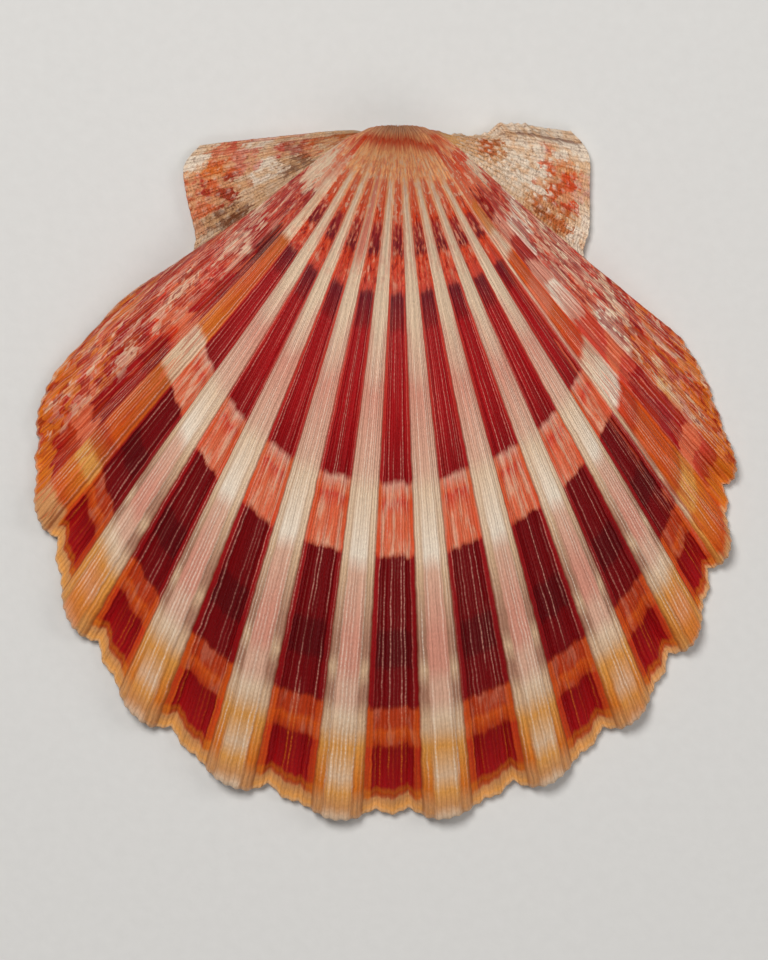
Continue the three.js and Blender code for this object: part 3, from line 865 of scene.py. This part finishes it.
RIGHT_EAR_PATCHES = [
    (0.0, 1.10, 0.10, 0.24, SALMON, 0.8), (0.3, 0.86, 0.22, 0.34, YELLOW, 0.8),
    (0.45, 0.84, 0.34, 0.56, TAN, 0.7), (0.52, 0.82, 0.42, 0.55, OCHRE, 0.75),
    (0.60, 0.80, 0.43, 0.49, ORANGE, 0.55), (0.84, 0.96, 0.34, 0.52, CREAM, 0.8),
    (0.30, 0.82, 0.57, 0.78, WHITE, 0.75), (0.11, 0.34, 0.67, 0.90, OCHRE, 0.95),
    # The brown patch 0.13 to 0.22 across is painted shadow of the denticles
    (0.13, 0.22, 0.69, 0.78, BROWN_AND_SHADE, 0.6), (0.40, 0.47, 0.71, 0.77, ORANGE, 0.7),
    (0.31, 0.66, 0.78, 0.95, ORANGE, 0.95), (0.36, 0.62, 0.87, 0.94, FLAME, 0.7),
    (0.32, 0.36, 0.80, 0.90, RED, 0.6), (0.62, 0.83, 0.76, 0.82, SALMON, 0.85),
    (0.62, 0.74, 0.84, 0.91, AMBER, 0.7), (0.44, 0.64, 0.94, 1.10, PINK, 0.8),
    (0.0, 0.14, 0.62, 0.86, TAN, 0.5), (0.72, 0.88, 0.84, 1.10, WHITE, 0.8),
    # The dark strip 0.865 to 0.905 across is painted shadow in the gap under the hinge fold
    (0.0, 0.36, 0.90, 1.10, WHITE, 0.7), (0.865, 0.905, 0.56, 1.0, PAINTED_DARK_SHADE, 0.6),
    (0.905, 1.10, 0.50, 1.0, WHITE, 0.6),
]


def ear_material():
    g = Graph("scaly_ears")
    v, s, side = g.attribute("across"), g.attribute("growth"), g.attribute("side")
    riblet = g.round(v * 13)
    low_band = g.step(v, 0.80, 0.86)
    warp = (g.noise(v * 7, s * 9) - 0.5) * 0.12 + (g.chance(riblet, 4.0) - 0.5) * 0.035
    fray = (g.noise(v * 24, s * 36, 4.0, 0.75) - 0.5) * 0.15
    vv = v + ((g.noise(v * 12, s * 10 + 7) - 0.5) * 0.06 + fray) * (1 - low_band * 0.7)
    ss = s + warp + fray
    left = g.patches(IVORY, vv, ss, LEFT_EAR_PATCHES)
    right = g.patches(CREAM, vv, ss, RIGHT_EAR_PATCHES)
    colour = g.mix(left, right, g.step(side, -0.2, 0.2))

    # Scales: pale crests, with painted shade in brown in the hollows behind them
    phase = s * EAR_LAMELLAE + (g.wave(v * 6.5) * 2 - 1) * 0.35
    lamella = phase - g.round(phase - 0.5)
    crest = g.wave(v * 13) * g.step(lamella, 0.02, 0.2) * g.step(lamella, 0.85, 0.35)
    knobby = g.band(s, 0.32, 0.82, 0.05) * g.band(v, 0.2, 0.86, 0.06) * g.step(side, 0.4, 0.6)
    blotch = g.noise(v * 22, s * 34, 3.0, 0.65)
    warm = g.step(g.noise(v * 9, s * 14 + 21, 2.0), 0.46, 0.62)
    colour = g.mix(colour, g.mix(YELLOW, CREAM, 0.45), warm * 0.6)
    shown = g.step(blotch, 0.40, 0.60)
    colour = g.mix(colour, WHITE, crest * (0.30 * shown + 0.65 * knobby * (0.4 + 0.6 * shown)))
    hollow_shade = g.step(lamella, 0.16, 0.0) + g.step(lamella, 0.9, 1.0)
    colour = g.mix(colour, BROWN_AND_SHADE, hollow_shade * g.step(blotch, 0.58, 0.42) * g.step(s, 0.28, 0.45) * 0.4)
    colour = g.mix(colour, BROWN_AND_SHADE, g.step(blotch, 0.42, 0.30) * g.step(s, 0.3, 0.5) * 0.35)
    streak = g.noise(v * 60, s * 9, 3.0)
    grain = g.noise(v * 90, s * 110, 2.0, 0.7)
    shade = 0.74 + 0.30 * streak + 0.32 * grain
    colour = g.mix(colour, g.vector(shade, shade, shade), 1.0, "MULTIPLY")
    # Painted shade: thin brown lines in the grooves between the ear's riblets
    between = g.step(g.wave(v * 13 + 0.5), 0.72, 1.0) * g.noise(v * 13, s * 30)
    colour = g.mix(colour, BROWN_AND_SHADE, between * 0.3 * g.step(s, 0.3, 0.6))

    fine = g.wave(s * 63 + (g.noise(v * 12, s * 18) - 0.5) * 2)
    height = fine * 0.4 + g.wave(v * 39) * 0.35 + grain
    normal = g.bump(height, 0.00016)
    return g.finish(colour, 0.40 + 0.2 * grain, normal, 0.2)


def inside_material():
    g = Graph("porcelain_inside")
    rib, s = g.attribute("rib"), g.attribute("growth")
    p = g.abs(rib - g.round(rib))
    t = s + (g.noise(rib * 5, s * 14) - 0.5) * 0.03
    field = g.zones(
        t, (0, SALMON), (0.22, PINK, WHITE), (0.45, WHITE), (0.80, WHITE, CREAM), (0.93, CREAM, TAN),
        soft=0.05,
    )
    rays = g.step(p, 0.30, 0.22) * g.step(t, 0.55, 0.97) * g.step(g.abs(rib), 4.6, 4.2)
    zone = g.wave(t * 4.2)
    colour = g.mix(field, ROSE, rays * (0.20 + 0.5 * zone))
    colour = g.mix(colour, MAROON, rays * g.step(t, 0.955, 0.985) * 0.8)
    cloud = g.noise(rib * 1.4, s * 6, 3.0)
    shade = 0.90 + 0.14 * cloud
    colour = g.mix(colour, g.vector(shade, shade, shade), 1.0, "MULTIPLY")
    lines = g.wave(s * 55 + g.noise(rib * 2, s * 9) * 1.5)
    normal = g.bump(lines * 0.4 + g.noise(rib * 9, s * 40), 0.00003)
    return g.finish(colour, 0.24 + 0.10 * cloud, normal, 0.5, 0.3)


def floor_material():
    g = Graph("pale_paper")
    place = g.node("ShaderNodeTexCoord", "Object")
    places = {"Vector": place, "Scale": 900.0, "Detail": 3.0}
    grain = g.node("ShaderNodeTexNoise", "Fac", places)
    colour = g.mix(srgb(203, 201, 197), srgb(209, 207, 203), grain)
    return g.finish(colour, 0.8, g.bump(grain, 0.00002), 0.2)


# -------------------------------------------------------------------- staging
def soft_light(name, place, size, power, target=(0, 0, 0.006)):
    data = bpy.data.lights.new(name, "AREA")
    data.shape = "DISK"
    data.size = size
    data.energy = power
    lamp = bpy.data.objects.new(name, data)
    lamp.location = place
    lamp.rotation_mode = "QUATERNION"
    lamp.rotation_quaternion = (Vector(target) - Vector(place)).to_track_quat("-Z", "Y")
    bpy.context.scene.collection.objects.link(lamp)


def make_floor():
    data = bpy.data.meshes.new("floor")
    half = 0.9
    corners = [(x * half, y * half, 0) for x, y in ((-1, -1), (1, -1), (1, 1), (-1, 1))]
    data.from_pydata(corners, [], [(0, 1, 2, 3)])
    data.materials.append(floor_material())
    floor = bpy.data.objects.new("floor", data)
    bpy.context.scene.collection.objects.link(floor)


def make_camera():
    """Straight down from 330 mm, framing 90.6 mm of the floor on the tall side."""
    height, tall = 0.330, 0.0906
    aim_x, aim_y = -0.00008, -0.00082
    data = bpy.data.cameras.new("camera")
    data.sensor_width = 36.0
    data.lens = data.sensor_width * height / tall
    data.clip_start, data.clip_end = 0.01, 10.0
    camera = bpy.data.objects.new("camera", data)
    camera.location = (aim_x, aim_y, height)
    bpy.context.scene.collection.objects.link(camera)
    bpy.context.scene.camera = camera


def make_world():
    world = bpy.data.worlds.new("studio")
    world.use_nodes = True
    sky = world.node_tree.nodes["Background"]
    sky.inputs["Color"].default_value = srgb(236, 236, 240)
    sky.inputs["Strength"].default_value = 0.16
    bpy.context.scene.world = world
    bpy.context.scene.view_settings.view_transform = "Standard"


make_camera()
make_world()
make_floor()
soft_light("key", (-0.14, 0.24, 0.50), 0.26, 2.65)
soft_light("front_fill", (0.14, -0.30, 0.52), 0.36, 0.64)
soft_light("right_fill", (0.46, 0.16, 0.36), 0.30, 0.84)

valve = bpy.data.objects.new("right_valve_skin", build_valve())
bpy.context.scene.collection.objects.link(valve)
for made in (disc_material(), ear_material(), inside_material()):
    valve.data.materials.append(made)
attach(valve, "root")
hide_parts("right_valve")
